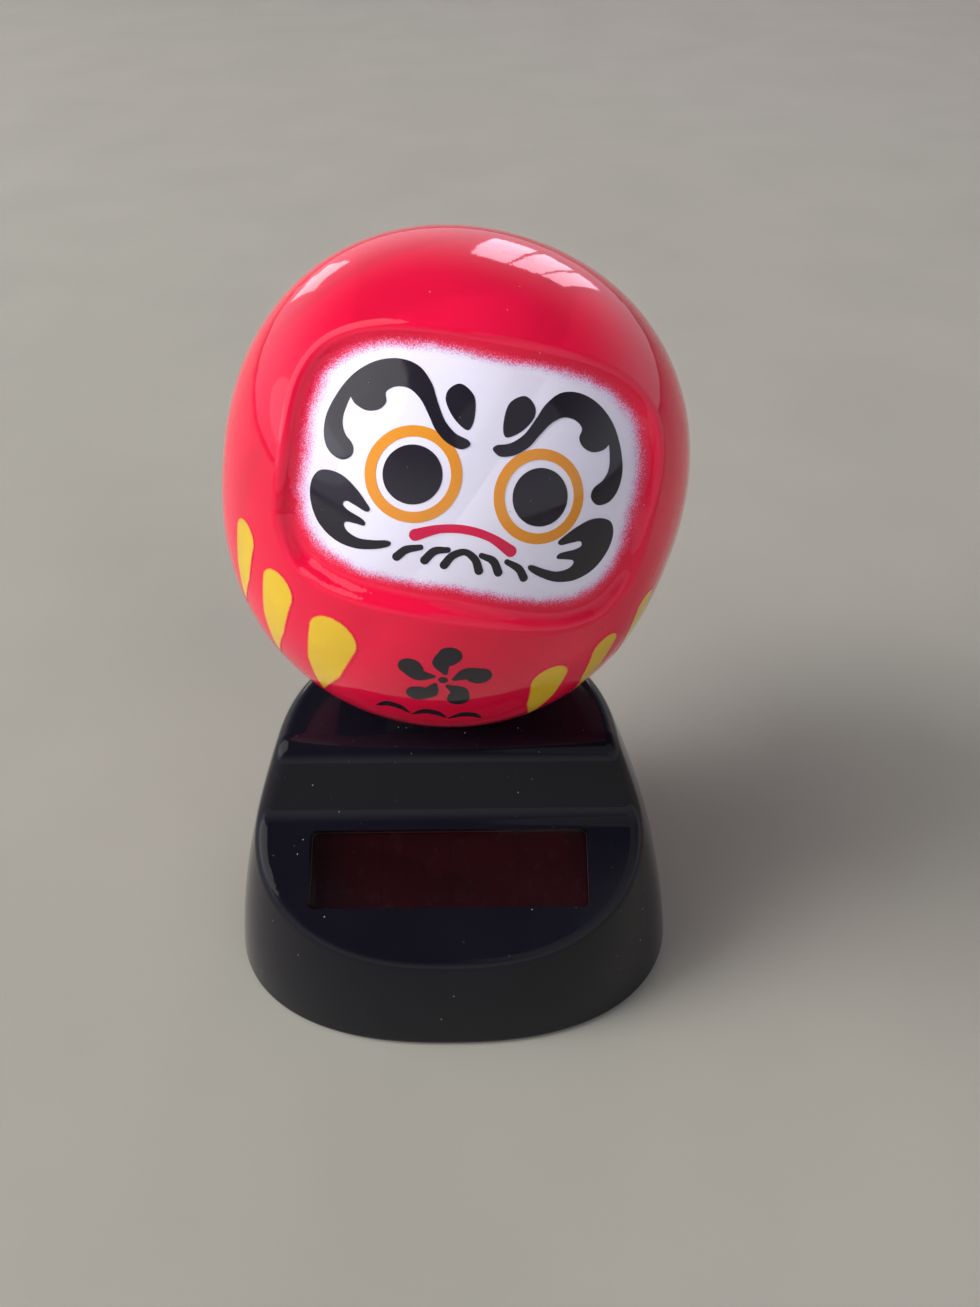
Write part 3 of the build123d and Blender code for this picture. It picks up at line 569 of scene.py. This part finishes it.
def cover_black():
    """Spark-eroded texture of a moulded base plate."""
    material, tree, shader = new_material("cover_black", (0.016, 0.016, 0.018), 0.55)
    grain = noise(tree, 0.18, 2.0)
    colour = mixed(tree, noise(tree, 4.0, 3.0), (0.013, 0.013, 0.015), (0.024, 0.024, 0.026))
    scuffs = specks(tree, 3.0, 0.3, 0.25, 0.3)
    tree.links.new(mixed(tree, scuffs, colour, (0.12, 0.12, 0.12)), shader.inputs["Base Color"])
    tree.links.new(span(tree, grain, 0.3, 0.7, 0.45, 0.65), shader.inputs["Roughness"])
    bumped(tree, shader, grain, 0.03)
    return material


def cell_film():
    """Amorphous silicon: dark red-brown strips parted by fine laser lines, with dust over them."""
    base, edge = (0.070, 0.0022, 0.0045), (0.125, 0.0040, 0.0075)
    material, tree, shader = new_material("cell_film", base, 0.25, specular_ior_level=0.15)
    colour = mixed(tree, noise(tree, 5.0, 3.0), base, edge)
    parts = tree.nodes.new("ShaderNodeSeparateXYZ")
    tree.links.new(place_of(tree), parts.inputs[0])
    strip = maths(tree, "FRACT", maths(tree, "MULTIPLY", parts.outputs["X"], PER_METRE / CELL_STRIP))
    line = maths(tree, "LESS_THAN", strip, 0.012)
    colour = mixed(tree, maths(tree, "MULTIPLY", line, 0.5), colour, (0.012, 0.002, 0.003))
    dust = specks(tree, 0.9, 0.11, 0.35, 0.45)
    tree.links.new(mixed(tree, dust, colour, DUST), shader.inputs["Base Color"])
    tree.links.new(span(tree, noise(tree, 2.0, 3.0), 0.3, 0.8, 0.16, 0.34), shader.inputs["Roughness"])
    return material


def cell_glass():
    """Clear glass, very slightly wavy."""
    material, tree, shader = new_material(
        "cell_glass", (0.97, 0.92, 0.92), 0.02, transmission_weight=1.0, ior=1.5
    )
    bumped(tree, shader, noise(tree, 4.0, 2.0), 0.002)
    return material


def metal(name, colour, roughness, grain_scale):
    """Worked metal with drawn lines along one direction and small stains."""
    material, tree, shader = new_material(name, colour, roughness, metallic=1.0)
    lines = noise(tree, 0.6, 4.0, scaled_place(tree, grain_scale))
    dark = tuple(0.7 * channel for channel in colour)
    stains = span(tree, noise(tree, 1.5, 4.0), 0.4, 0.8)
    tree.links.new(mixed(tree, stains, colour, dark), shader.inputs["Base Color"])
    rough = span(tree, lines, 0.3, 0.7, roughness * 0.75, roughness * 1.4)
    tree.links.new(rough, shader.inputs["Roughness"])
    bumped(tree, shader, lines, 0.004)
    return material


def plastic(name, colour, roughness, grain_mm=0.3, depth_mm=0.008):
    """Moulded or wound matter with fine grain, slight mottling and handling marks."""
    material, tree, shader = new_material(name, colour, roughness)
    dark = tuple(0.82 * channel for channel in colour)
    marks = span(tree, noise(tree, 2.2, 4.0), 0.35, 0.8)
    tree.links.new(mixed(tree, marks, colour, dark), shader.inputs["Base Color"])
    grain = noise(tree, grain_mm, 3.0)
    rough = span(tree, grain, 0.3, 0.7, roughness * 0.85, roughness * 1.2)
    tree.links.new(rough, shader.inputs["Roughness"])
    bumped(tree, shader, grain, depth_mm)
    return material


def wound_wire():
    """Enamelled copper: close turns stacked up the coil, with painted shade darkening the grooves
    between turns.
    """
    copper, dark = (0.55, 0.19, 0.06), (0.22, 0.06, 0.02)
    material, tree, shader = new_material("wound_wire", copper, 0.3, metallic=0.9, coat_weight=0.6)
    turns = tree.nodes.new("ShaderNodeTexWave")
    turns.bands_direction = "Z"
    turns.inputs["Scale"].default_value = 2 * math.pi / WAVE_TEXTURE_RATE / (WIRE_PITCH * MM)
    turns.inputs["Distortion"].default_value = 0.4
    tree.links.new(place_of(tree), turns.inputs["Vector"])
    # The dark colour in the low part of each turn band is painted shade in the groove between turns;
    # the wire itself is one copper colour.
    tree.links.new(mixed(tree, turns.outputs["Fac"], dark, copper), shader.inputs["Base Color"])
    bumped(tree, shader, turns.outputs["Fac"], 0.04)
    return material


def laminate():
    """Brown paper laminate with green-brown resist over broad tracks."""
    material, tree, shader = new_material("laminate", (0.34, 0.20, 0.08), 0.5)
    tracks = tree.nodes.new("ShaderNodeTexBrick")
    tracks.inputs["Scale"].default_value = PER_METRE / TRACK_PITCH
    tracks.inputs["Mortar Size"].default_value = 0.04
    tracks.inputs["Color1"].default_value = (0.30, 0.19, 0.07, 1)
    tracks.inputs["Color2"].default_value = (0.36, 0.21, 0.08, 1)
    tracks.inputs["Mortar"].default_value = (0.14, 0.13, 0.05, 1)
    tree.links.new(place_of(tree), tracks.inputs["Vector"])
    tree.links.new(tracks.outputs["Color"], shader.inputs["Base Color"])
    bumped(tree, shader, tracks.outputs["Fac"], 0.03)
    return material


def dress_nodes():
    """Every CAD node gets its material."""
    steel = metal("screw_steel", (0.56, 0.56, 0.57), 0.32, (1, 1, 0.2))
    white_plastic = plastic("arm_plastic", (0.80, 0.79, 0.74), 0.4)
    wire = wound_wire()
    looks = {
        "body_front": sprayed("doll_red_face", RED, lacquer_with_face),
        "body_rear": sprayed("doll_red", RED, lacquer),
        "base_shell": shell_black(),
        "bottom_cover": cover_black(),
        "solar_cell_film": cell_film(),
        "solar_cell_glass": cell_glass(),
        "cell_tape": plastic("foam_tape", (0.05, 0.05, 0.05), 0.9, 0.2, 0.04),
        "cover_screws": steel,
        "mast_screws": steel,
        "board_screws": steel,
        "arm_screws": steel,
        "pivot_pin": metal("pin_steel", (0.66, 0.66, 0.68), 0.18, (1, 0.1, 1)),
        "balance_weight": metal("weight_steel", (0.42, 0.41, 0.40), 0.42, (0.2, 1, 1)),
        "magnet": metal("magnet_nickel", (0.62, 0.60, 0.56), 0.16, (1, 1, 1)),
        "capacitor_leads": metal("tinned_wire", (0.66, 0.66, 0.65), 0.3, (1, 1, 0.2)),
        "pivot_mast": plastic("acetal", (0.82, 0.82, 0.79), 0.38),
        "pendulum_arm": white_plastic,
        "magnet_holder": white_plastic,
        "coil_bobbin": plastic("bobbin_nylon", (0.78, 0.76, 0.68), 0.45),
        "coil_winding": wire,
        "coil_leads": wire,
        "circuit_board": laminate(),
        "chip_blob": plastic("epoxy_black", (0.012, 0.012, 0.012), 0.22, 1.0, 0.02),
        "capacitor": plastic("capacitor_sleeve", (0.016, 0.026, 0.09), 0.3, 0.8, 0.01),
        "cell_lead_red": plastic("lead_red", (0.45, 0.02, 0.02), 0.4, 0.6, 0.01),
        "cell_lead_black": plastic("lead_black", (0.015, 0.015, 0.015), 0.4, 0.6, 0.01),
    }
    for name, material in looks.items():
        for slot in frame["nodes"][name].material_slots:
            slot.material = material


# ======== paint on the doll ========

def both_sides(name, outlines, material, shift=0.0, lift=FILM_LIFT):
    """The film and its mirror image on the other side of the face."""
    placed = [shifted(outline, (shift, 0)) for outline in outlines]
    film(name + "_left", placed, on_face, material, lift)
    placed = [shifted(mirrored(outline), (shift, 0)) for outline in outlines]
    film(name + "_right", placed, on_face, material, lift)


def paint_face(black):
    """Eyes, brows, cheeks, mouth and beard."""
    orange = print_ink("ink_orange", (0.80, 0.32, 0.032), (0.74, 0.26, 0.028), (0.10, 0.04, 0.02))
    crimson = print_ink("ink_crimson", (0.70, 0.018, 0.085), (0.62, 0.012, 0.065), (0.20, 0.01, 0.03))
    both_sides("eye_ring", [circle(*RING), circle(*RING_HOLE)], orange)
    both_sides("pupil", [circle(*PUPIL)], black)
    both_sides("brow", [closed_curve(BROW)], black, PRINT_SHIFT, OVERPRINT_LIFT)
    both_sides("cheek", [closed_curve(CHEEK)], black, PRINT_SHIFT, OVERPRINT_LIFT)
    both_sides("brow_drop", [closed_curve(BROW_DROP)], black)
    both_sides("beard_outer", [stroke(*BEARD_OUTER)], black)
    both_sides("beard_inner", [stroke(*BEARD_INNER)], black)
    film("beard_middle", [stroke(*BEARD_MIDDLE)], on_face, black)
    mouth = shifted(stroke(*MOUTH), (PRINT_SHIFT, 0))
    film("mouth", [mouth], on_face, crimson)


def paint_drops():
    """Yellow drops on both sides of the belly, heads up."""
    yellow = sprayed("drop_yellow", YELLOW, lacquer_with_yellow)
    for index, (line, width) in enumerate(DROPS):
        points = [(WRAP_RADIUS * math.radians(azimuth), z) for azimuth, z in line]
        outline = stroke(points, [width, width * DROP_WAIST, DROP_TIP])
        film(f"belly_drop_{index + 1}", [outline], on_skin, yellow, fades=True)


def paint_blossom(black):
    """A five-petalled brush blossom with three waves under it."""
    inner, outer = PETAL_RANGE
    for index in range(PETALS):
        turn = math.pi / 2 + 2 * math.pi * index / PETALS
        radial = np.array((math.cos(turn), math.sin(turn)))
        sideways = np.array((-radial[1], radial[0]))
        middle = radial * (inner + outer) / 2 + sideways * PETAL_BEND
        petal = stroke([radial * inner, middle, radial * outer], PETAL_HALF_WIDTHS)
        petal = shifted(petal, BLOSSOM_CENTRE)
        film(f"belly_petal_{index + 1}", [petal], on_skin, black)
    film("belly_stamen", [circle(BLOSSOM_CENTRE, STAMEN_RADIUS)], on_skin, black)
    for index, place in enumerate(WAVE_PLACES):
        wave = shifted(stroke(*WAVE), (place, WAVE_HEIGHT))
        film(f"belly_wave_{index + 1}", [wave], on_skin, black)


# ======== floor, light and camera ========

# Distances here are in metres and angles in degrees.
FLOOR_HALF = 2.5
AIM = Vector((0, 0, 0.04))
ROOM_STRENGTH = 0.86
WINDOW_PANES = (9.0, 15.5, 22.0)
SOFT_EDGE = (1.3, 1.1, 0.9, 0.7, 0.5)
CAMERA_PLACE = (0.0041, -0.0709, 0.0962)
CAMERA_DOWN = 41.3
CAMERA_ROLL = -0.6
CAMERA_LENS = 29.11


def make_floor():
    """Pale floor with a slow drift of tone."""
    material, tree, shader = new_material("floor_pale", (0.44, 0.43, 0.37), 0.8)
    tone = span(tree, noise(tree, 30.0, 3.0), 0.3, 0.7)
    tone = mixed(tree, tone, (0.425, 0.413, 0.355), (0.455, 0.443, 0.38))
    tree.links.new(tone, shader.inputs["Base Color"])
    mesh = bpy.data.meshes.new("floor")
    signs = [(-1, -1), (1, -1), (1, 1), (-1, 1)]
    mesh.from_pydata([(x * FLOOR_HALF, y * FLOOR_HALF, 0) for x, y in signs], [], [(0, 1, 2, 3)])
    mesh.materials.append(material)
    floor = bpy.data.objects.new("floor", mesh)
    bpy.context.scene.collection.objects.link(floor)


def make_world():
    """Pale room: bright low down, dimmer overhead."""
    world = bpy.data.worlds.new("room")
    bpy.context.scene.world = world
    world.use_nodes = True
    tree = world.node_tree
    background = tree.nodes["Background"]
    parts = tree.nodes.new("ShaderNodeSeparateXYZ")
    coordinates = tree.nodes.new("ShaderNodeTexCoord")
    tree.links.new(coordinates.outputs["Generated"], parts.inputs[0])
    height = span(tree, parts.outputs["Z"], 0.15, 0.75, smooth=True)
    colour = mixed(tree, height, (0.72, 0.72, 0.78), (0.05, 0.05, 0.07))
    tree.links.new(colour, background.inputs["Color"])
    background.inputs["Strength"].default_value = ROOM_STRENGTH


def softbox(name, azimuth, elevation, distance, size, radiance, colour, soft=False):
    """Area light aimed at the doll. Azimuth 0 is behind the object, along +Y, and 90 is +X.

    A soft one is a few ovals one inside the other, so its reflection has no hard edge.
    """
    turn, rise = math.radians(azimuth), math.radians(elevation)
    away = Vector((math.sin(turn) * math.cos(rise), math.cos(turn) * math.cos(rise), math.sin(rise)))
    shares = SOFT_EDGE if soft else (1.0,)
    for index, share in enumerate(shares):
        light = bpy.data.lights.new(f"{name}_{index}", "AREA")
        light.shape = "ELLIPSE" if soft else "RECTANGLE"
        light.size, light.size_y = size[0] * share, size[1] * share
        light.energy = radiance * math.pi * size[0] * size[1] / len(shares)
        light.color = colour
        lamp = bpy.data.objects.new(light.name, light)
        lamp.location = AIM + away * distance
        lamp.rotation_euler = away.to_track_quat("Z", "Y").to_euler()
        bpy.context.scene.collection.objects.link(lamp)


def make_lights():
    """Large soft key from the left, weak fill from the right, and window panes behind."""
    softbox("key", -98, 42, 0.90, (0.75, 0.75), 9.9, (1.0, 0.985, 0.97), soft=True)
    softbox("fill", 142, 44, 1.00, (0.8, 0.6), 1.9, (0.95, 0.97, 1.0), soft=True)
    softbox("key_low", -95, 14, 0.95, (0.8, 0.28), 4.2, (0.74, 0.82, 1.0), soft=True)
    for index, azimuth in enumerate(WINDOW_PANES):
        softbox(f"window_{index + 1}", azimuth, 17, 1.5, (0.145, 0.42), 3.2, (1.0, 0.72, 0.88))
    softbox("window_left", -26, 10, 1.5, (0.30, 0.30), 2.2, (1.0, 0.90, 0.96))


def make_camera():
    """Close wide-lens view from the front, looking down."""
    camera = bpy.data.cameras.new("camera")
    camera.lens = CAMERA_LENS
    camera.sensor_width = 36.0
    camera.clip_start = 0.01
    seat = bpy.data.objects.new("camera", camera)
    pitch = Matrix.Rotation(math.pi / 2 - math.radians(CAMERA_DOWN), 4, "X")
    roll = Matrix.Rotation(math.radians(CAMERA_ROLL), 4, "Z")
    seat.matrix_world = Matrix.Translation(CAMERA_PLACE) @ (pitch @ roll)
    bpy.context.scene.collection.objects.link(seat)
    bpy.context.scene.camera = seat


dress_nodes()
ink = print_ink("ink_black", (0.0105, 0.0085, 0.0135), (0.017, 0.014, 0.021), (0.35, 0.33, 0.36))
paint_face(ink)
paint_drops()
paint_blossom(ink)
make_floor()
make_world()
make_lights()
make_camera()
bpy.context.scene.view_settings.view_transform = "Standard"
